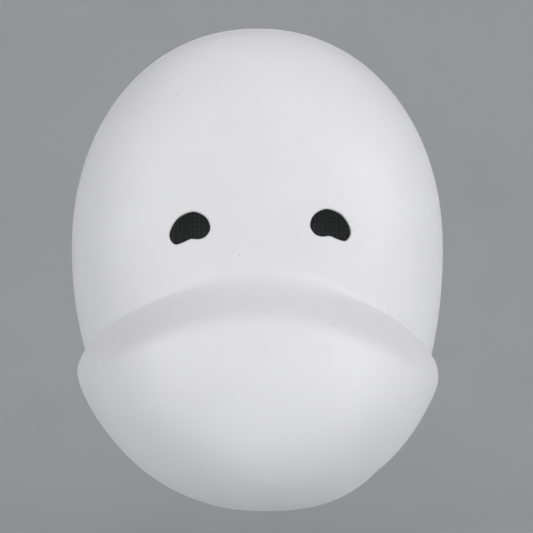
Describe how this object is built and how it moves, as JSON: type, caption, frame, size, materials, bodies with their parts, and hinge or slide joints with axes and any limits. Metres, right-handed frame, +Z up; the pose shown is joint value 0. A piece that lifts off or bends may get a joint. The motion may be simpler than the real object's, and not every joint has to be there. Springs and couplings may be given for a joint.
{
  "type": "plague doctor mask",
  "caption": "Blank white rigid mask with a broad snub beak, small bean-shaped eye holes, dark eye mesh, soft cushions and a swinging elastic head strap.",
  "frame": {"origin": "on the plane of the rear rim, midway between the eyes and at their height", "axes": "+Z up as worn, the mask faces -Y, +X is on the right of someone looking at its front"},
  "size_m": [0.188, 0.1016, 0.2444],
  "materials": {
    "shell": "satin white coat over cast resin",
    "mesh": "woven see-through screen",
    "retainer": "moulded",
    "screw": "zinc plated",
    "cushion": "brushed knit over foam",
    "tab": "moulded",
    "elastic": "woven elastic",
    "slide": "moulded"
  },
  "bodies": {
    "shell": {"face_shell": "shell", "beak_shell": "shell", "left_eye_mesh": "mesh", "right_eye_mesh": "mesh", "left_eye_retainer": "retainer", "right_eye_retainer": "retainer", "left_eye_screw_inner": "screw", "left_eye_screw_outer": "screw", "right_eye_screw_inner": "screw", "right_eye_screw_outer": "screw", "forehead_pad": "cushion", "chin_pad": "cushion", "left_temple_pad": "cushion", "right_temple_pad": "cushion", "left_pivot_washer": "screw", "right_pivot_washer": "screw", "left_pivot_screw": "screw", "right_pivot_screw": "screw"},
    "strap": {"left_strap_tab": "tab", "right_strap_tab": "tab", "elastic_strap": "elastic"},
    "slider": {"strap_slider": "slide"}
  },
  "joints": [
    {"name": "strap_swing", "type": "hinge", "parent": "shell", "child": "strap", "pos_m": [0, -0.014, -0.01], "axis": [1, 0, 0], "range_deg": [0, 150]},
    {"name": "slider_slide", "type": "slide", "parent": "strap", "child": "slider", "axis": [-0.3048, 0, -0.9524], "range_m": [0, 0.009]}
  ]
}
